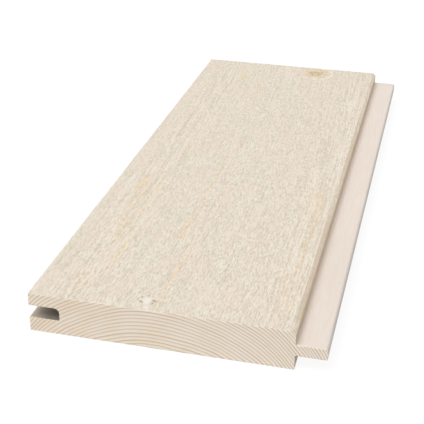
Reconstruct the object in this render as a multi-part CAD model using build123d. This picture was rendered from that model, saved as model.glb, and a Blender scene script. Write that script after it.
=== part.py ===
"""Tongue-and-groove cladding board, lying on its planed back with the fine-sawn face up.

One length of solid softwood, planed to its section in one pass. X runs across the board, from the groove
to the tongue, Y along the grain and Z up through the thickness. The origin is on the floor, under the
middle of the board with its tongue. All sizes are in millimetres.
"""

import os

from build123d import *

# Overall sizes
board_length = 366.0
board_thickness = 21.0
cover_width = 130.0  # the face that stays in view on the wall, from groove lip to tongue shoulder

# Tongue, and how far its underside stands above the back of the board
tongue_length = 15.0
tongue_thickness = 5.9
tongue_height = 7.7

# Room that the next board's tongue has in the groove
end_clearance = 0.5
top_clearance = 0.7

# Bevel along the tongue side of the face, which leaves a shallow line in the finished wall
shoulder_bevel = 2.0

# Rounded edges and corners
face_edge_radius = 0.3
back_edge_radius = 0.5
tongue_top_radius = 1.5
tongue_bottom_radius = 0.6
groove_top_radius = 2.5
groove_bottom_radius = 0.6

# Places that follow from the sizes above
groove_depth = tongue_length + end_clearance
groove_height = tongue_thickness + top_clearance
overall_width = cover_width + tongue_length
lip_edge = -overall_width / 2
shoulder_edge = lip_edge + cover_width


def corner_at(outline, x, z):
    """The corner of the outline that lies at (x, z)."""
    return outline.vertices().sort_by_distance((x, z))[0]


def section():
    """The section across the grain: the body with its tongue added and its groove cut away."""
    body = Rectangle(cover_width, board_thickness, align=(Align.MIN, Align.MIN))
    tongue = Rectangle(tongue_length, tongue_thickness, align=(Align.MIN, Align.MIN))
    groove = Rectangle(groove_depth, groove_height, align=(Align.MIN, Align.MIN))
    outline = Pos(lip_edge, 0) * body
    outline += Pos(shoulder_edge, tongue_height) * tongue
    outline -= Pos(lip_edge, tongue_height) * groove
    outline = chamfer(corner_at(outline, shoulder_edge, board_thickness), shoulder_bevel)

    tongue_tip = shoulder_edge + tongue_length
    groove_end = lip_edge + groove_depth
    nose_limit = 0.45 * tongue_thickness
    corner_limit = 0.45 * groove_height
    corners = [
        (lip_edge, board_thickness, face_edge_radius),
        (lip_edge, 0, back_edge_radius),
        (shoulder_edge, 0, back_edge_radius),
        (tongue_tip, tongue_height + tongue_thickness, min(tongue_top_radius, nose_limit)),
        (tongue_tip, tongue_height, min(tongue_bottom_radius, nose_limit)),
        (groove_end, tongue_height + groove_height, min(groove_top_radius, corner_limit)),
        (groove_end, tongue_height, min(groove_bottom_radius, corner_limit)),
    ]
    for x, z, radius in corners:
        outline = fillet(corner_at(outline, x, z), radius)
    return outline


def cladding_board():
    """The section run along the grain, half its length to each side of the origin."""
    return extrude(Plane.XZ * section(), amount=board_length / 2, both=True)


os.makedirs("parts", exist_ok=True)
export_step(cladding_board(), "parts/cladding_board.step")
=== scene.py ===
"""Looks of a tongue-and-groove cladding board: whitewashed sawn face, end grain, planed edges and back.

The board is one mesh that stands for the part's one node. X runs across it, from the groove to the tongue,
Y along the grain and Z up. Lengths are in millimetres until the mesh and the scene are made in metres.
"""

import math

import bpy
import numpy as np
from mathutils import Matrix, Vector, geometry


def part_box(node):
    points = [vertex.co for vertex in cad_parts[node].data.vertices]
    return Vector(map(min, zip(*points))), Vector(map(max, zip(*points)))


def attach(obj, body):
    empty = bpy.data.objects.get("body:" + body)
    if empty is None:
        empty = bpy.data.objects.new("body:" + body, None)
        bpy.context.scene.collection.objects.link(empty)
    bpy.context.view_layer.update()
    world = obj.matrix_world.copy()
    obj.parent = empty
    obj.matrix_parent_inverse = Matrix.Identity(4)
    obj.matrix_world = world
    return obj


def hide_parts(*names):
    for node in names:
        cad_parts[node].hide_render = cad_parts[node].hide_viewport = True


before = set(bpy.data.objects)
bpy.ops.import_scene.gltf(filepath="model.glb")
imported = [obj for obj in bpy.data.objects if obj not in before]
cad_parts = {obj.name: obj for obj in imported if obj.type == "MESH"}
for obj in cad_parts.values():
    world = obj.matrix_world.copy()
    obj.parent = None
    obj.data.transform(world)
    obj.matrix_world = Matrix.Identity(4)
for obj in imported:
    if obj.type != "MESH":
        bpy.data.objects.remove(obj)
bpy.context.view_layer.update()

MM = 0.001
NODE = "cladding_board"
WHITE = (1.0, 1.0, 1.0, 1.0)

# Section of the board
low_corner, high_corner = (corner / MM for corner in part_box(NODE))
lip_edge, near_end, _ = low_corner
tongue_tip, far_end, thickness = high_corner
tongue_length = 15.0
tongue_thickness = 5.9
tongue_bottom = 7.7
end_clearance = 0.5
top_clearance = 0.7
tongue_top = tongue_bottom + tongue_thickness
groove_top = tongue_top + top_clearance
shoulder = tongue_tip - tongue_length
groove_end = lip_edge + tongue_length + end_clearance

# Bevel along the tongue side of the face
shoulder_bevel = 2.0

# Rounded edges. The bevel, the mouth of the groove and the ends are only rubbed down a little
face_edge_radius = 0.3
bevel_edge_radius = 0.3
back_edge_radius = 0.5
tongue_top_radius = 1.5
tongue_bottom_radius = 0.6
groove_top_radius = 2.5
groove_bottom_radius = 0.6
mouth_radius = 0.45
end_edge_radius = 0.15
end_edge_rows = 4

# Fineness of the mesh: steps round the section on each surface and on its arcs, along the grain of the face
# and along the rings, rows of the face to one row of a planed surface, and the turn past which an edge is
# sharp
FACE, BEVEL, WALL, TONGUE, GROOVE, BACK, END = range(7)
section_step = {FACE: 0.54, BEVEL: 1.4, WALL: 1.6, TONGUE: 1.6, GROOVE: 2.2, BACK: 2.6}
arc_step = 0.35
grain_step = 1.12
ring_step = 1.25
planed_rows = 10
sharp_turn = math.radians(50.0)

# Growth of the tree. The pith lies under the board, the grain bends towards the groove at the far end, and
# the rings dip faster than a circle near the board's edges
pith_x = -8.5
pith_z = -57.3
pith_rise = 0.012
grain_lean = -0.02
grain_bend = -0.00011
edge_dip = 0.0057
edge_dip_from = 45.0
first_radius = 30.0
ring_count = 60
widest_ring = 1.85
narrowest_ring = 1.1
ring_narrowing = 0.0015
ring_variation = 0.16

# Wavering of the rings: how far they stray, and its reach across and along the grain
wide_waver = (1.1, 24.0, 95.0)
fine_waver = (0.35, 8.0, 34.0)

# Late wood: shares of a year over which it sets in and ends, its darkness on the ends, and what that gains
# over a stretch towards the tongue
late_wood_start = (0.4, 0.8)
late_wood_stop = (0.92, 1.0)
late_wood_tone = 0.68
late_wood_gain = 0.08
late_wood_gain_span = (15.0, 55.0)

# Distances beside the pith between which the rings get steep under the face
steep_span = (10.0, 42.0)

# Knots on the face, the yellow tail of the larger one and the white spot beside the smaller one: place, and
# half sizes across and along the grain
branch_knot = (13.2, 170.6, 10.4, 10.6)
knot_tail = (-1.5, 173.5, 9.0, 4.5)
pin_knot = (-15.0, -174.9, 1.9, 3.4)
pin_spot = (-13.5, -180.6, 0.9, 1.4)

# Years by which the rings bend round each knot, and the stretch across the larger one's middle over which its
# rim sets in
branch_push = 3.0
pin_push = 0.9
knot_side_span = (-4.0, 5.0)

# Zones of the face: place across and half width of three bands, and the places between which the lines by
# the tongue and the calm edge by the groove set in. The zones wander a little along the grain
lined_band = (-52.5, 10.5)
smooth_band = (-31.0, 11.0)
heart_band = (-12.0, 6.0)
lined_side = (34.0, 44.0)
calm_side = (-60.0, -67.0)
zone_wander = 2.5
zone_wander_reach = (30.0, 60.0)

# Streaks of bare wood on the face: places across at the near and the far end of each, places along of those
# ends, half width and strength
streaks = [
    (-56.4, -58.0, -63, -40, 1.8, 1.0),
    (-51.4, -54.2, -80, -40, 1.5, 0.8),
    (-42.8, -46.8, -90, -40, 1.5, 0.8),
    (-50.5, -50.5, -125, -95, 1.8, 0.8),
    (-42.5, -42.5, -150, -105, 2.0, 0.9),
    (-51.5, -51.5, -171, -150, 2.0, 0.9),
    (-42.5, -42.5, -12, 12, 1.8, 0.6),
    (-40.2, -40.2, 143, 174, 2.4, 0.9),
    (-22.0, -22.0, 105, 138, 2.0, 0.6),
    (-14.0, -14.0, 8, 21, 2.0, 0.8),
    (-15.5, -15.5, -67, -12, 1.7, 0.8),
    (-17.5, -17.5, -113, -88, 1.9, 0.9),
    (-9.0, -9.0, -178, -115, 1.7, 0.8),
    (45.2, 42.0, -66, -32, 2.8, 1.0),
    (49.6, 47.8, -56, -34, 1.8, 1.0),
    (44.8, 43.6, -80, -64, 2.0, 0.9),
    (49.2, 49.2, -80, -58, 1.6, 0.9),
    (51.2, 50.6, -172, -84, 1.7, 0.6),
    (43.5, 43.5, -168, -110, 1.7, 0.5),
    (24.5, 24.5, 115, 153, 2.2, 0.5),
    (-15.2, -15.2, -114, 22, 1.5, 0.6),
    (-47.0, -47.0, -170, -20, 2.4, 0.5),
    (-55.0, -55.0, -125, -20, 2.0, 0.5),
    (47.5, 50.6, -175, -10, 2.0, 0.6),
]

# Marks that the saw left across the grain: where each starts and stops
saw_marks = [
    ((-12.5, 124.0), (-6.5, 128.0)),
    ((-3.5, 126.5), (2.5, 132.5)),
    ((-6.0, 115.0), (13.0, 119.5)),
    ((-6.5, -127.0), (9.5, -122.0)),
    ((16.0, -100.0), (30.0, -101.5)),
    ((17.5, -105.0), (28.5, -106.0)),
]

# Cracks beside the pin knot: where each starts and stops
pin_cracks = [
    ((-16.4, -170.0), (-15.2, -170.5)),
    ((-19.0, -175.6), (-16.6, -177.1)),
    ((-19.2, -171.8), (-17.9, -172.4)),
    ((-13.0, -173.5), (-10.5, -174.8)),
    ((-13.0, -177.0), (-11.6, -176.2)),
]

# Fibres of the face: reach across and along the grain
fine_reach = (0.36, 1.2)
long_reach = (0.4, 14.0)
torn_reach = (0.5, 1.5)
patch_reach = (9.0, 26.0)
broken_reach = (0.5, 5.0)

# Relief of the face. Its highest fibres are flush with the part, and all the rest lies below them
fine_height = 0.05
long_height = 0.045
ring_height = 0.05
torn_height = 0.07
torn_depth = 0.08
torn_span = (1.5, 2.8)
score_depth = 0.13
score_lip = 0.09
score_width = 0.9
score_lip_offset = 1.9
score_fade = 1.0
crack_relief = 0.12
crack_width = 0.65
crack_fade = 0.5
knot_height = 0.03
pin_height = 0.05
highest_fibre = 0.14
deepest_pit = 0.5

# Sway of the streaks, and the length over which each sets in and ends
streak_sway = 0.6
streak_sway_length = 28.0
streak_fade = 6.0

# Relief of the ends, and the clear margin inside an end's outline
end_depth = 0.03
early_wood_depth = 0.08
end_roughness = 0.025
end_rough_reach = 1.1
end_margin = 0.4

# Waves of the planed surfaces: mean depth, and reach across and along the grain
planed_depth = 0.03
planed_reach = (4.0, 40.0)

# Rubbed edges of the face: width, and the share of the relief that is gone there
rubbed_width = 1.0
rubbed_share = 0.4

# Painted shade in the groove by the ends: strength and reach
end_shade = 0.35
end_shade_reach = 12.0

# Distances from the pith, and turn to each side of it, within which an end's rings are looked for
ring_reach = (48.0, 118.0)
ring_reach_steps = 400
middle_reach = 80.0
widest_turn = 1.1


def lattice_noise(x, y, z, seed):
    """Smooth noise between -1 and 1, with one random value at each whole-numbered place."""
    side = 32
    lattice = np.random.default_rng(seed).uniform(-1.0, 1.0, (side, side, side))
    places = np.broadcast_arrays(x, y, z)
    cells = [np.floor(place).astype(int) for place in places]
    shares = [place - cell for place, cell in zip(places, cells)]
    shares = [share * share * (3.0 - 2.0 * share) for share in shares]
    total = np.zeros(places[0].shape)
    for corner in np.ndindex(2, 2, 2):
        weight = np.ones(places[0].shape)
        for share, upper in zip(shares, corner):
            weight = weight * (share if upper else 1.0 - share)
        index = tuple((cell + upper) % side for cell, upper in zip(cells, corner))
        total += weight * lattice[index]
    return total


def fibre_field(shape, reach, seed):
    """Random heights on the face's grid, blurred by a reach across and along the grain, with spread 1."""
    heights = np.random.default_rng(seed).standard_normal(shape)
    across = np.fft.fftfreq(shape[0], section_step[FACE])[:, None] * reach[0]
    along = np.fft.fftfreq(shape[1], grain_step)[None, :] * reach[1]
    blur = np.exp(-2.0 * math.pi**2 * (across**2 + along**2))
    field = np.fft.ifft2(np.fft.fft2(heights) * blur).real
    return field / field.std()


def smoothstep(low, high, value):
    """0 at low and past it, 1 at high and past it, and a smooth change between them."""
    share = np.clip((value - low) / (high - low), 0.0, 1.0)
    return share * share * (3.0 - 2.0 * share)


def knot_distance(x, y, knot):
    """Distance from a knot's middle, where 1 is its uneven rim, a little further out on the groove side."""
    middle_x, middle_y, half_x, half_y = knot
    across = (x - middle_x) / half_x * np.where(x < middle_x, 0.8, 1.0)
    along = (y - middle_y) / half_y
    wobble = lattice_noise(x / half_x * 1.3, y / half_y * 1.3, 0.5, seed=7)
    return np.hypot(across, along) * (1.0 + 0.14 * wobble)


def ring_radii():
    """Outer radius of each year's ring. Rings get narrower outwards, and no two are quite alike."""
    rng = np.random.default_rng(11)
    radii = [first_radius]
    for _ in range(ring_count):
        width = widest_ring - ring_narrowing * (radii[-1] - first_radius)
        width = max(width, narrowest_ring) * (1.0 + ring_variation * rng.uniform(-1.0, 1.0))
        radii.append(radii[-1] + width)
    return np.array(radii)


RADII = ring_radii()


def grain_sway(y):
    """How far the fibres have moved across at a place along the board."""
    return grain_lean * y + grain_bend * y**2


def pith_at(y):
    """Where the pith is at a place along the board."""
    return pith_x + grain_sway(y) - grain_sway(near_end), pith_z + pith_rise * (y - near_end)


def growth(x, y, z):
    """Years of growth at a place in the board. The whole number changes from ring to ring."""
    middle_x, middle_z = pith_at(y)
    across = np.abs(x - middle_x)
    radius = np.hypot(across, z - middle_z) + edge_dip * np.maximum(across - edge_dip_from, 0.0) ** 2
    for (strays, reach_across, reach_along), seed in ((wide_waver, 3), (fine_waver, 4)):
        waver = lattice_noise(x / reach_across, y / reach_along, z / reach_across, seed)
        radius = radius + strays * waver
    years = np.interp(radius, RADII, np.arange(len(RADII)))
    for knot, pushed in ((branch_knot, branch_push), (pin_knot, pin_push)):
        years = years - pushed * np.exp(-0.8 * knot_distance(x, y, knot) ** 2)
    return years


def late_wood(years):
    """How far a place is into the dense late wood of its ring, from 0 to 1."""
    share = years - np.floor(years)
    return smoothstep(*late_wood_start, share) * (1.0 - smoothstep(*late_wood_stop, share))


def ring_steepness(x, y):
    """How steeply the rings come up through the face, from 0 over the pith to 1 at the board's edges."""
    middle_x, _ = pith_at(y)
    return smoothstep(*steep_span, np.abs(x - middle_x))


def section_corners():
    """Corners of the section, clockwise from the groove side of the face: x, z, radius, and the surfaces of
    the corner's arc and of the run after it."""
    return [
        (lip_edge, thickness, face_edge_radius, FACE, FACE),
        (shoulder - shoulder_bevel, thickness, bevel_edge_radius, BEVEL, BEVEL),
        (shoulder, thickness - shoulder_bevel, bevel_edge_radius, BEVEL, WALL),
        (shoulder, tongue_top, 0.0, WALL, TONGUE),
        (tongue_tip, tongue_top, tongue_top_radius, TONGUE, TONGUE),
        (tongue_tip, tongue_bottom, tongue_bottom_radius, TONGUE, TONGUE),
        (shoulder, tongue_bottom, 0.0, TONGUE, WALL),
        (shoulder, 0.0, back_edge_radius, BACK, BACK),
        (lip_edge, 0.0, back_edge_radius, BACK, WALL),
        (lip_edge, tongue_bottom, mouth_radius, WALL, GROOVE),
        (groove_end, tongue_bottom, groove_bottom_radius, GROOVE, GROOVE),
        (groove_end, groove_top, groove_top_radius, GROOVE, GROOVE),
        (lip_edge, groove_top, mouth_radius, WALL, WALL),
    ]


def section_outline():
    """Points round the section, the inward direction at each, and the surface from each to the next."""
    corners = section_corners()
    places = np.array([corner[:2] for corner in corners])
    radii = np.array([corner[2] for corner in corners])
    runs = np.roll(places, -1, axis=0) - places
    leaving = runs / np.linalg.norm(runs, axis=1, keepdims=True)
    coming = np.roll(leaving, 1, axis=0)
    turns = np.arccos(np.sum(coming * leaving, axis=1))
    cuts = radii * np.tan(turns / 2.0)
    points, inward, surfaces = [], [], []
    for index, (_, _, radius, arc_surface, run_surface) in enumerate(corners):
        come, leave, turn = coming[index], leaving[index], turns[index]
        aside = (leave - math.cos(turn) * come) / math.sin(turn)
        middle = places[index] - cuts[index] * come + radius * aside
        steps = max(round(radius * turn / arc_step), 3) if radius else 0
        for step in range(steps):
            turned = step / steps * turn
            way = math.cos(turned) * come + math.sin(turned) * aside
            points.append(middle + radius * (math.sin(turned) * come - math.cos(turned) * aside))
            inward.append((way[1], -way[0]))
            surfaces.append(arc_surface)
        start = places[index] + cuts[index] * leave
        run = runs[index] - (cuts[index] + cuts[(index + 1) % len(corners)]) * leave
        steps = max(round(np.linalg.norm(run) / section_step[run_surface]), 2)
        for step in range(steps):
            way = leave if radius or step else (come + leave) / math.sqrt(2.0)
            points.append(start + run * step / steps)
            inward.append((way[1], -way[0]))
            surfaces.append(run_surface)
    return np.array(points), np.array(inward), np.array(surfaces)


def grain_stations():
    """Places along the grain, and how far the section draws in at each to rub down the ends."""
    turns = np.linspace(0.0, math.pi / 2, end_edge_rows)
    starts = near_end + end_edge_radius * (1.0 - np.cos(turns))
    draws = end_edge_radius * (1.0 - np.sin(turns))
    count = round((far_end - near_end) / grain_step)
    between = np.linspace(near_end + end_edge_radius, far_end - end_edge_radius, count)[1:-1]
    places = np.concatenate([starts, between, -starts[::-1]])
    drawn_in = np.concatenate([draws, np.zeros(len(between)), draws[::-1]])
    return places, drawn_in


def beside_mark(x, y, mark, fade):
    """How far a place is beside a straight mark, and the mark's strength there. It fades at both ends."""
    start, stop = np.array(mark)
    length = np.linalg.norm(stop - start)
    way = (stop - start) / length
    along = (x - start[0]) * way[0] + (y - start[1]) * way[1]
    beside = (y - start[1]) * way[0] - (x - start[0]) * way[1]
    strength = smoothstep(-fade, fade, along) * smoothstep(-fade, fade, length - along)
    return beside, strength


def mark_heights(x, y):
    """Shallow scores across the grain, each with a raised lip behind it."""
    heights = np.zeros(np.broadcast(x, y).shape)
    for mark in saw_marks:
        beside, strength = beside_mark(x, y, mark, score_fade)
        score = score_depth * np.exp(-((beside / score_width) ** 2))
        lip = score_lip * np.exp(-(((beside - score_lip_offset) / score_width) ** 2))
        heights += strength * (lip - score)
    return heights


def crack_depth(x, y):
    """How deep a place is in a crack beside the pin knot, from 0 to 1."""
    deepest = np.zeros(np.broadcast(x, y).shape)
    for mark in pin_cracks:
        beside, strength = beside_mark(x, y, mark, crack_fade)
        deepest = np.maximum(deepest, strength * np.exp(-((beside / crack_width) ** 2)))
    return deepest


def face_zones(x, y):
    """How tufted and how lined the face is, each up to 1."""
    reach_across, reach_along = zone_wander_reach
    across = x + zone_wander * lattice_noise(x / reach_across, y / reach_along, 0.5, seed=26)
    lined, smooth, heart = (
        np.exp(-(((across - middle) / half_width) ** 2))
        for middle, half_width in (lined_band, smooth_band, heart_band)
    )
    tufted = 1.0 - 0.15 * smooth - 0.35 * smoothstep(*calm_side, across)
    lined = 0.35 + 0.65 * lined + 0.65 * smoothstep(*lined_side, across) + 0.3 * heart
    return tufted, np.minimum(lined, 1.0)


def face_relief(x, y, years):
    """Depth of the fine-sawn face under its highest fibres."""
    shape = np.broadcast(x, y).shape
    tufted, lined = face_zones(x, y)
    fine = fibre_field(shape, fine_reach, seed=21)
    long = fibre_field(shape, long_reach, seed=22)
    torn = fibre_field(shape, torn_reach, seed=24)
    patches = fibre_field(shape, patch_reach, seed=23)
    steep = ring_steepness(x, y)
    rough = tufted + 0.15 * patches
    height = fine_height * fine * rough + long_height * lined * long
    height = height + ring_height * steep * (late_wood(years) - 0.3)
    height = height + torn_height * smoothstep(*torn_span, torn) - torn_depth * smoothstep(*torn_span, -torn)
    height = height + mark_heights(x, y)
    solid = 1.0 - smoothstep(0.75, 1.15, knot_distance(x, y, branch_knot))
    height = height * (1.0 - 0.5 * solid) + knot_height * solid
    pin = knot_distance(x, y, pin_knot)
    height = height + pin_height * np.exp(-(pin**2) * 2.0) - crack_relief * crack_depth(x, y)
    return np.clip(highest_fibre - height, 0.0, deepest_pit)


def bare_wood(x, y, edge):
    """How bare of whitewash the face is along its streaks and its rubbed edges, from 0 to 1."""
    shape = np.broadcast(x, y).shape
    broken = fibre_field(shape, broken_reach, seed=31)
    field = 0.1 * edge * np.ones(shape)
    for near_place, far_place, start, stop, half_width, strength in streaks:
        sway = streak_sway * lattice_noise(near_place / 3.0, y / streak_sway_length, 0.5, seed=33)
        lean = (far_place - near_place) * (y - start) / (stop - start)
        line = near_place + lean + sway + grain_sway(y) - grain_sway((start + stop) / 2.0)
        across = np.exp(-(((x - line) / half_width) ** 2))
        begun = smoothstep(start - streak_fade, start + streak_fade, y)
        ended = smoothstep(stop - streak_fade, stop + streak_fade, y)
        along = begun * (1.0 - ended)
        field = np.maximum(field, strength * across * along)
    tail = 1.0 - smoothstep(0.3, 1.1, knot_distance(x, y, knot_tail))
    field = np.maximum(field, 0.7 * tail)
    return np.clip(field * (0.85 + 0.3 * broken), 0.0, 1.0)


def inside_section(places, outline, margin):
    """Which places lie within the outline, and at least margin away from it."""
    start, stop = outline, np.roll(outline, -1, axis=0)
    run = stop - start
    inside = np.zeros(len(places), bool)
    nearest = np.full(len(places), np.inf)
    for (x0, z0), (_, z1), (run_x, run_z) in zip(start, stop, run):
        from_x, from_z = places[:, 0] - x0, places[:, 1] - z0
        share = np.clip((from_x * run_x + from_z * run_z) / (run_x**2 + run_z**2), 0.0, 1.0)
        nearest = np.minimum(nearest, np.hypot(from_x - share * run_x, from_z - share * run_z))
        if z0 != z1:
            crosses = (z0 > places[:, 1]) != (z1 > places[:, 1])
            inside ^= crosses & (from_x < run_x * from_z / run_z)
    return inside & (nearest > margin)


def ring_places(y):
    """Places on an end that follow its rings, two lines of them to each year."""
    middle_x, middle_z = pith_at(y)
    reach = np.linspace(*ring_reach, ring_reach_steps)
    half_step = ring_step / 2.0 / middle_reach
    found = []
    for count, turn in enumerate(np.arange(-widest_turn, widest_turn, half_step)):
        x, z = middle_x + reach * math.sin(turn), middle_z + reach * math.cos(turn)
        years = np.maximum.accumulate(growth(x, y, z))
        levels = np.arange(math.ceil(years[0]), years[-1] - 1.0) + 0.35 + 0.5 * (count % 2)
        radius = np.interp(levels, years, reach)
        x, z = middle_x + radius * math.sin(turn), middle_z + radius * math.cos(turn)
        found.append(np.column_stack([x, z]))
    return np.concatenate(found)


def end_mesh(outline, y):
    """Points inside an end, and its triangles, in which the outline's own points are counted first."""
    places = ring_places(y)
    places = places[inside_section(places, outline, end_margin)]
    flat = [Vector(place) for place in np.concatenate([outline, places])]
    count = len(outline)
    border = [(index, (index + 1) % count) for index in range(count)]
    triangles = geometry.delaunay_2d_cdt(flat, border, [], 1, 1e-7)[2]
    years = growth(places[:, 0], y, places[:, 1])
    rough = lattice_noise(places[:, 0] / end_rough_reach, places[:, 1] / end_rough_reach, 0.5, seed=41)
    depth = end_depth + early_wood_depth * (1.0 - late_wood(years)) + end_roughness * rough
    inner = np.column_stack([places[:, 0], y - np.sign(y) * np.maximum(depth, 0.0), places[:, 1]])
    return inner, triangles


def stitch(left_rows, left, right_rows, right):
    """Triangles between two columns of points. A column may leave out some rows, but not the end ones."""
    triangles = []
    a, b = 0, 0
    while a < len(left_rows) - 1 or b < len(right_rows) - 1:
        left_next = left_rows[a + 1] if a < len(left_rows) - 1 else math.inf
        right_next = right_rows[b + 1] if b < len(right_rows) - 1 else math.inf
        here, there = left[left_rows[a]], right[right_rows[b]]
        if left_next <= right_next:
            a += 1
            triangles.append((here, there, left[left_rows[a]]))
        else:
            b += 1
            triangles.append((here, there, right[right_rows[b]]))
    return triangles


def surface_depths(x, y, z, sawn):
    """Depth of each place, how bare it is on the face, and how much painted shade it has in the groove."""
    reach_across, reach_along = planed_reach
    waves = lattice_noise(x / reach_across, y / reach_along, z / reach_across, seed=51)
    depth = planed_depth + planed_depth * waves
    # Painted shade: the groove darkens from its mouth to its end, and more within a reach of the board's ends
    by_end = smoothstep(end_shade_reach, 0.0, far_end - np.abs(y))
    bareness_and_painted_shade = np.minimum(smoothstep(lip_edge, groove_end, x) + end_shade * by_end, 1.0)

    face_x = x[sawn]
    from_lip, from_bevel = face_x - lip_edge, shoulder - shoulder_bevel - face_x
    edge = smoothstep(rubbed_width, 0.0, from_lip) + smoothstep(rubbed_width, 0.0, from_bevel)
    depth[sawn] = face_relief(face_x, y, growth(face_x, y, thickness)) * (1.0 - rubbed_share * edge)
    bareness_and_painted_shade[sawn] = bare_wood(face_x, y, edge)
    return depth, bareness_and_painted_shade


def kept_places(sawn, rows):
    """Which places of the grid are points of the mesh: all on the face and by the ends, fewer elsewhere."""
    keep = np.zeros((len(sawn), rows), bool)
    keep[sawn] = True
    keep[:, :end_edge_rows] = True
    keep[:, -end_edge_rows:] = True
    keep[:, end_edge_rows:-end_edge_rows:planed_rows] = True
    return keep


def grain_strips(keep, numbers, surfaces):
    """Strips of triangles along the grain, and the surface of each triangle. The ends' rims are end grain."""
    columns, rows = keep.shape
    row_of = np.nonzero(keep)[1]
    kept_rows = [np.flatnonzero(kept) for kept in keep]
    faces, slots = [], []
    for column in range(columns):
        beside = (column + 1) % columns
        strip = stitch(kept_rows[column], numbers[column], kept_rows[beside], numbers[beside])
        strip_rows = row_of[np.array(strip)]
        rim = (strip_rows.max(1) < end_edge_rows) | (strip_rows.min(1) >= rows - end_edge_rows)
        faces += strip
        slots += np.where(rim, END, surfaces[column]).tolist()
    return faces, slots


def end_cap(outline, outline_numbers, y, first_number):
    """Points inside an end, numbered from first_number, and its triangles, which face outwards."""
    inner, triangles = end_mesh(outline, y)
    numbers = outline_numbers + list(range(first_number, first_number + len(inner)))
    faces = []
    for triangle in triangles:
        corners = [numbers[corner] for corner in triangle]
        faces.append(corners if y < 0 else corners[::-1])
    return inner, faces


def point_values(points, depth, bareness_and_painted_shade):
    """What the materials read at each point. Those inside the ends come last, with no depth, bareness or
    painted shade.
    """
    x, y, z = points.T
    tufted, lined = face_zones(x, y)
    inside_ends = np.zeros(len(points) - len(depth))
    return {
        "years": growth(x, y, z),
        "steep": ring_steepness(x, y),
        "dense": late_wood_tone + late_wood_gain * smoothstep(*late_wood_gain_span, x),
        "aside": smoothstep(lip_edge, tongue_tip, x),
        "sway": grain_sway(y) * MM,
        "tufted": tufted,
        "lined": lined,
        "depth": np.concatenate([depth, inside_ends]),
        "bareness_and_painted_shade": np.concatenate([bareness_and_painted_shade, inside_ends]),
        "knot": np.minimum(knot_distance(x, y, branch_knot), 3.0),
        "knot_side": smoothstep(*knot_side_span, x - branch_knot[0]),
        "pin": np.minimum(knot_distance(x, y, pin_knot), knot_distance(x, y, pin_spot)),
        "cracks": crack_depth(x, y),
    }


def board_mesh():
    """The whole board as one closed mesh. Its rings, streaks and knots are kept as values at its points."""
    outline, inward, surfaces = section_outline()
    places, drawn_in = grain_stations()
    x, z, y = outline[:, :1], outline[:, 1:], places[None, :]
    sawn = surfaces == FACE
    sawn |= np.roll(sawn, 1)
    depth, bareness_and_painted_shade = surface_depths(x, y, z, sawn)
    draw = depth + drawn_in[None, :]
    grid_x = x + inward[:, :1] * draw
    grid_z = z + inward[:, 1:] * draw
    grid_y = np.broadcast_to(y, draw.shape)

    keep = kept_places(sawn, len(places))
    numbers = np.full(keep.shape, -1)
    numbers[keep] = np.arange(keep.sum())
    points = np.stack([grid_x[keep], grid_y[keep], grid_z[keep]], axis=-1)
    faces, slots = grain_strips(keep, numbers, surfaces)
    for row, end in ((0, near_end), (-1, far_end)):
        end_outline = np.column_stack([grid_x[:, row], grid_z[:, row]])
        inner, cap = end_cap(end_outline, numbers[:, row].tolist(), end, len(points))
        points = np.concatenate([points, inner])
        faces += cap
        slots += [END] * len(cap)

    mesh = bpy.data.meshes.new("board")
    mesh.from_pydata((points * MM).tolist(), [], faces)
    mesh.polygons.foreach_set("material_index", np.array(slots, np.int32))
    for name, values in point_values(points, depth[keep], bareness_and_painted_shade[keep]).items():
        mesh.attributes.new(name, "FLOAT", "POINT").data.foreach_set("value", values.astype(np.float32))
    mesh.shade_smooth()
    mesh.set_sharp_from_angle(angle=sharp_turn)
    mesh.update()
    return mesh


def colour(red, green, blue):
    """A colour as seen on a screen, 0 to 255, in the linear values that shaders take."""
    shares = [channel / 255.0 for channel in (red, green, blue)]
    return (*(s / 12.92 if s <= 0.04045 else ((s + 0.055) / 1.055) ** 2.4 for s in shares), 1.0)


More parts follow.
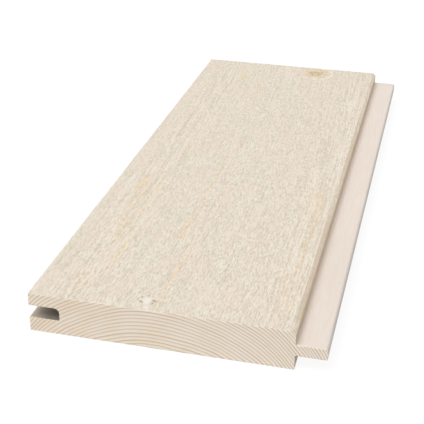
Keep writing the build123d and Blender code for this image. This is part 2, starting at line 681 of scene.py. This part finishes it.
class Shader:
    """The node tree of a material or of the world, with short ways to add the nodes used here."""

    def __init__(self, holder):
        holder.use_nodes = True
        self.holder = holder
        self.tree = holder.node_tree
        self.tree.nodes.clear()

    def node(self, kind, inputs=None, **settings):
        """A new node. Each input is a value or another node's output."""
        made = self.tree.nodes.new("ShaderNode" + kind)
        for name, value in settings.items():
            setattr(made, name, value)
        for name, value in (inputs or {}).items():
            socket = made.inputs[name]
            if isinstance(value, bpy.types.NodeSocket):
                self.tree.links.new(value, socket)
            else:
                socket.default_value = value
        return made

    def math(self, operation, first, second=0.0):
        """One operation on a value, or on two."""
        return self.node("Math", {0: first, 1: second}, operation=operation).outputs[0]

    def value(self, name):
        """A value kept at the mesh's points."""
        return self.node("Attribute", attribute_name=name).outputs["Fac"]

    def grain_space(self, stretch):
        """The place in millimetres, squeezed along the swaying grain, so that patterns are stretched."""
        sway = self.node("CombineXYZ", {"X": self.value("sway")}).outputs["Vector"]
        object_place = self.node("TexCoord").outputs["Object"]
        place = self.node("VectorMath", {0: object_place, 1: sway}, operation="SUBTRACT").outputs["Vector"]
        scale = (1.0 / MM, 1.0 / MM / stretch, 1.0 / MM)
        return self.node("Mapping", {"Vector": place, "Scale": scale}).outputs["Vector"]

    def noise(self, space, size, detail=2.0):
        """Noise with features of about that size in millimetres, from 0 to 1."""
        inputs = {"Vector": space, "Scale": 1.0 / size, "Detail": detail, "Roughness": 0.6}
        return self.node("TexNoise", inputs).outputs["Fac"]

    def span(self, value, low, high, to_low=0.0, to_high=1.0):
        """The value moved smoothly from one span to another and held at its ends."""
        inputs = {"Value": value, "From Min": low, "From Max": high, "To Min": to_low, "To Max": to_high}
        return self.node("MapRange", inputs, interpolation_type="SMOOTHSTEP").outputs["Result"]

    def ramp(self, value, stops):
        """A colour ramp of (place, colour) stops."""
        made = self.node("ValToRGB", {"Fac": value})
        elements = made.color_ramp.elements
        while len(elements) < len(stops):
            elements.new(1.0)
        for element, (place, stop) in zip(elements, stops):
            element.position = place
            element.color = stop
        return made.outputs["Color"]

    def mix(self, share, first, second):
        """The second colour laid over the first, by a share from 0 to 1."""
        return self.node("Mix", {0: share, 6: first, 7: second}, data_type="RGBA").outputs[2]

    def late_wood(self):
        """Dark late wood of each ring, stronger in some years than in others."""
        years = self.value("years")
        share = self.math("FRACT", years)
        stops = [(0.0, 0.0), (0.42, 0.04), (0.66, 0.5), (0.84, 1.0), (0.94, 0.9), (1.0, 0.0)]
        late = self.ramp(share, [(place, (level, level, level, 1.0)) for place, level in stops])
        year = self.node("TexWhiteNoise", {"W": self.math("FLOOR", years)}, noise_dimensions="1D")
        level = self.span(year.outputs["Value"], 0.0, 1.0, 0.7, 1.0)
        return self.math("MULTIPLY", late, level)

    def bump(self, height, distance, strength):
        """A bump that follows a height, where 1 stands for that distance in millimetres."""
        inputs = {"Height": height, "Distance": distance * MM, "Strength": strength}
        return self.node("Bump", inputs).outputs["Normal"]

    def finish(self, base, roughness, normal):
        """Ends the tree in matt wood and returns the material."""
        inputs = {"Base Color": base, "Roughness": roughness, "Normal": normal, "Specular IOR Level": 0.25}
        wood = self.node("BsdfPrincipled", inputs)
        self.node("OutputMaterial", {"Surface": wood.outputs["BSDF"]})
        return self.holder


def branch_knot_colours(shader, base, pale_line):
    """The larger knot: a golden body with a broken dark ring, a brown rim and a pale line round that."""
    uneven = shader.noise(shader.grain_space(stretch=1.0), size=4.5)
    broken = shader.noise(shader.grain_space(stretch=1.0), size=2.6)
    pale_body, deep_body = colour(238, 221, 190), colour(227, 207, 172)
    dark_ring, brown_rim = colour(186, 163, 125), colour(206, 182, 148)

    knot = shader.math("ADD", shader.value("knot"), shader.span(uneven, 0.25, 0.75, -0.2, 0.2))
    body = shader.mix(shader.span(broken, 0.35, 0.65), pale_body, deep_body)
    base = shader.mix(shader.span(knot, 0.5, 1.1, 0.9, 0.0), base, body)
    side = shader.value("knot_side")
    for inner, middle, outer, strength, tint in (
        (-0.3, 0.3, 0.7, 0.8, dark_ring),
        (0.7, 0.9, 1.05, shader.math("MULTIPLY", side, 0.6), brown_rim),
        (1.0, 1.12, 1.4, side, pale_line),
    ):
        rise = shader.span(knot, inner, middle)
        fall = shader.span(knot, middle, outer, strength, 0.0)
        patchy = shader.span(broken, 0.36, 0.62, 0.2, 1.0)
        ring = shader.math("MULTIPLY", rise, fall)
        base = shader.mix(shader.math("MULTIPLY", ring, patchy), base, tint)
    return base


def pin_knot_colours(shader, base, specks):
    """The pin knot: two white spots with dark cracks beside them."""
    white_spot, dark_crack = colour(249, 245, 236), colour(172, 157, 138)
    pin = shader.math("ADD", shader.value("pin"), shader.span(specks, 0.2, 0.8, -0.3, 0.3))
    base = shader.mix(shader.span(pin, 0.4, 1.2, 0.75, 0.0), base, white_spot)
    return shader.mix(shader.span(shader.value("cracks"), 0.1, 0.9, 0.0, 0.9), base, dark_crack)


def sawn_face_material():
    """Fine-sawn softwood under a thin whitewash that is rubbed off along some fibres."""
    shader = Shader(bpy.data.materials.new("sawn_whitewash"))
    specks = shader.noise(shader.grain_space(stretch=5.5), size=0.48)
    tufts = shader.noise(shader.grain_space(stretch=3.5), size=1.2)
    threads = shader.noise(shader.grain_space(stretch=80.0), size=0.5)
    drifts = shader.noise(shader.grain_space(stretch=2.5), size=10.0)
    late = shader.late_wood()
    depth = shader.value("depth")
    # The light fibre colour also serves as painted highlight, and the dark speck colour as painted shade
    light_fibre_and_highlight, dark_speck_and_pit_shade = colour(250, 242, 229), colour(206, 193, 173)
    rosy_wash, cool_wash = colour(235, 221, 206), colour(231, 223, 205)
    dark_wood, pale_wood = colour(226, 199, 162), colour(247, 228, 198)

    wash = shader.mix(shader.span(drifts, 0.3, 0.7), rosy_wash, cool_wash)
    wood = shader.mix(shader.span(specks, 0.38, 0.62), dark_wood, pale_wood)
    lines = shader.math("MULTIPLY", shader.math("MULTIPLY", late, shader.value("steep")), 0.15)
    bareness_and_painted_shade = shader.math("MULTIPLY", shader.value("bareness_and_painted_shade"), shader.span(threads, 0.42, 0.56, 1.0, 0.12))
    mottle = shader.math("ADD", shader.math("MULTIPLY", specks, 0.9), shader.math("MULTIPLY", tufts, 0.2))
    tufted = shader.math("MULTIPLY", shader.value("tufted"), shader.span(drifts, 0.3, 0.7, 0.75, 1.25))
    mottle = shader.math("MULTIPLY", shader.math("SUBTRACT", mottle, 0.55), tufted)
    fibres = shader.math("MULTIPLY", shader.math("SUBTRACT", threads, 0.5), shader.value("lined"))
    tone = shader.math("ADD", mottle, shader.math("MULTIPLY", fibres, 0.75))
    # Speckle that follows the bump: partly the fibres' own tone, partly painted highlight where the bump
    # rises and painted shade where it sinks
    base = shader.mix(shader.span(tone, 0.0, 0.14, 0.0, 0.66), wash, light_fibre_and_highlight)
    base = shader.mix(shader.span(tone, -0.14, 0.0, 0.7, 0.0), base, dark_speck_and_pit_shade)
    base = shader.mix(shader.math("MAXIMUM", lines, bareness_and_painted_shade), base, wood)
    # Painted highlight on the relief's raised fibres and painted shade in its pits
    base = shader.mix(shader.span(depth, 0.0, 0.12, 0.25, 0.0), base, light_fibre_and_highlight)
    base = shader.mix(shader.span(depth, 0.14, 0.32, 0.0, 0.3), base, dark_speck_and_pit_shade)
    base = branch_knot_colours(shader, base, light_fibre_and_highlight)
    base = pin_knot_colours(shader, base, specks)
    normal = shader.bump(tone, distance=0.2, strength=0.6)
    return shader.finish(base, shader.span(specks, 0.2, 0.8, 0.72, 0.9), normal)


def end_grain_material():
    """Bare end grain: pale early wood and a dark line of late wood in each ring."""
    shader = Shader(bpy.data.materials.new("end_grain"))
    space = shader.grain_space(stretch=1.0)
    pores = shader.noise(space, size=0.3, detail=3.0)
    cloud = shader.noise(space, size=13.0)
    late = shader.late_wood()
    aside = shader.value("aside")
    pale_early, warm_early = colour(241, 229, 213), colour(238, 224, 204)
    tongue_early = colour(243, 233, 221)
    late_line, dark_pore = colour(179, 150, 116), colour(206, 186, 162)

    early = shader.mix(shader.span(cloud, 0.35, 0.65), pale_early, warm_early)
    early = shader.mix(shader.math("MULTIPLY", aside, 0.6), early, tongue_early)
    dark = shader.math("MULTIPLY", late, shader.value("dense"))
    base = shader.mix(dark, early, late_line)
    base = shader.mix(shader.span(pores, 0.45, 0.75, 0.0, 0.25), base, dark_pore)
    normal = shader.bump(shader.math("ADD", pores, late), distance=0.08, strength=0.4)
    return shader.finish(base, shader.span(pores, 0.2, 0.8, 0.78, 0.92), normal)


def planed_material(name, pale, deep, grain, shaded=None, fibre_stretch=22.0):
    """Planed long grain, smooth to the touch, with faint rings. A shaded colour, where given, is painted
    shade laid over it.
    """
    shader = Shader(bpy.data.materials.new(name))
    fibres = shader.noise(shader.grain_space(fibre_stretch), size=0.7, detail=3.0)
    cloud = shader.noise(shader.grain_space(stretch=5.0), size=14.0)
    late = shader.math("MULTIPLY", shader.late_wood(), grain)
    late_line = colour(201, 166, 122)

    base = shader.mix(shader.span(cloud, 0.25, 0.75, 0.0, 0.5), pale, deep)
    base = shader.mix(late, base, late_line)
    base = shader.mix(shader.span(fibres, 0.45, 0.57, 0.0, 0.55), base, deep)
    if shaded:
        # Painted shade: the shaded colour laid over the wood by the values at the points
        base = shader.mix(shader.value("bareness_and_painted_shade"), base, shaded)
    normal = shader.bump(fibres, distance=0.03, strength=0.35)
    return shader.finish(base, shader.span(fibres, 0.2, 0.8, 0.5, 0.65), normal)


def make_board():
    """The board with its materials, in the order of the surfaces."""
    board = bpy.data.objects.new("sawn_board", board_mesh())
    bpy.context.scene.collection.objects.link(board)
    for material in (
        sawn_face_material(),
        # The bevel's pale colour is lighter than the face's wood: painted light that makes up for the bevel
        # facing away from the key lamp
        planed_material(
            "planed_bevel", colour(254, 243, 226), colour(222, 202, 174), grain=0.3, fibre_stretch=6.0
        ),
        planed_material("planed_walls", colour(222, 205, 181), colour(213, 194, 166), grain=0.3),
        planed_material("planed_tongue", colour(241, 229, 219), colour(233, 221, 209), grain=0.03),
        # The groove's colours are darker and greyer than the other planed wood, and its shaded colour darker
        # still: painted shade inside the groove
        planed_material(
            "planed_groove",
            colour(212, 201, 187),
            colour(204, 191, 175),
            grain=0.15,
            shaded=colour(136, 128, 118),
        ),
        planed_material("planed_back", colour(232, 217, 194), colour(226, 206, 176), grain=0.55),
        end_grain_material(),
    ):
        board.data.materials.append(material)
    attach(board, "root")
    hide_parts(NODE)


def camera_sees(shader):
    """1 for what the camera sees, straight or in a gloss or a glass, and 0 for the light on the object."""
    path = shader.node("LightPath").outputs
    seen = shader.math("MAXIMUM", path["Is Camera Ray"], path["Is Glossy Ray"])
    return shader.math("MAXIMUM", seen, path["Is Transmission Ray"])


def make_floor():
    """A plain floor that looks white and keeps the board's shadow."""
    side, drop = 12.0, 0.05 * MM
    lit_grey, shown_grey = (0.45, 0.45, 0.45, 1.0), (0.13, 0.13, 0.13, 1.0)
    glow = 0.9
    corners = [(-side, -side, 0.0), (side, -side, 0.0), (side, side, 0.0), (-side, side, 0.0)]
    mesh = bpy.data.meshes.new("floor")
    mesh.from_pydata(corners, [], [(0, 1, 2, 3)])
    floor = bpy.data.objects.new("floor", mesh)
    floor.location.z = -drop
    bpy.context.scene.collection.objects.link(floor)
    shader = Shader(bpy.data.materials.new("floor"))
    matt = shader.node("BsdfDiffuse", {"Color": lit_grey}).outputs["BSDF"]
    pale = shader.node("BsdfDiffuse", {"Color": shown_grey}).outputs["BSDF"]
    lift = shader.node("Emission", {"Color": WHITE, "Strength": glow}).outputs["Emission"]
    lifted = shader.node("AddShader", {0: pale, 1: lift}).outputs["Shader"]
    shown = shader.node("MixShader", {"Fac": camera_sees(shader), 1: matt, 2: lifted}).outputs["Shader"]
    shader.node("OutputMaterial", {"Surface": shown})
    mesh.materials.append(shader.holder)


def make_world(level):
    """An even soft light from all round, in front of white."""
    shader = Shader(bpy.data.worlds.new("studio"))
    strength = shader.span(camera_sees(shader), 0.0, 1.0, level, 1.0)
    background = shader.node("Background", {"Color": WHITE, "Strength": strength}).outputs["Background"]
    shader.node("OutputWorld", {"Surface": background})
    bpy.context.scene.world = shader.holder


def add_lamp(name, direction, distance, size, level):
    """A square soft lamp that faces the board. At level 1 a white card facing it would look white."""
    data = bpy.data.lights.new(name, "AREA")
    data.size = size
    data.energy = level * math.pi**2 * distance**2
    lamp = bpy.data.objects.new(name, data)
    way = Vector(direction).normalized()
    lamp.location = way * distance
    lamp.rotation_mode = "QUATERNION"
    lamp.rotation_quaternion = way.to_track_quat("Z", "Y")
    lamp.visible_camera = False
    bpy.context.scene.collection.objects.link(lamp)


def make_camera():
    """The camera that the photograph's edges give: place in millimetres, turn, tilt and roll in radians."""
    focal_pixels, image_side = 996.5, 424
    place = Vector((108.3, -557.2, 272.2)) * MM
    turn, tilt, roll = -0.2373, 0.4708, -0.0106
    ahead = Vector((math.sin(turn) * math.cos(tilt), math.cos(turn) * math.cos(tilt), -math.sin(tilt)))
    level_right = Vector((math.cos(turn), -math.sin(turn), 0.0))
    level_down = ahead.cross(level_right)
    right = math.cos(roll) * level_right + math.sin(roll) * level_down
    up = math.sin(roll) * level_right - math.cos(roll) * level_down
    data = bpy.data.cameras.new("camera")
    data.sensor_width = 36.0
    data.lens = data.sensor_width * focal_pixels / image_side
    camera = bpy.data.objects.new("camera", data)
    axes = Matrix((right, up, -ahead)).transposed()
    camera.matrix_world = Matrix.Translation(place) @ axes.to_4x4()
    bpy.context.scene.collection.objects.link(camera)
    bpy.context.scene.camera = camera


make_board()
make_floor()
make_world(level=0.44)
add_lamp("key", direction=(-0.25, -0.40, 0.88), distance=24.0, size=15.0, level=0.575)
add_lamp("front_fill", direction=(0.08, -0.95, 0.30), distance=24.0, size=12.0, level=0.30)
make_camera()
bpy.context.scene.view_settings.view_transform = "Standard"
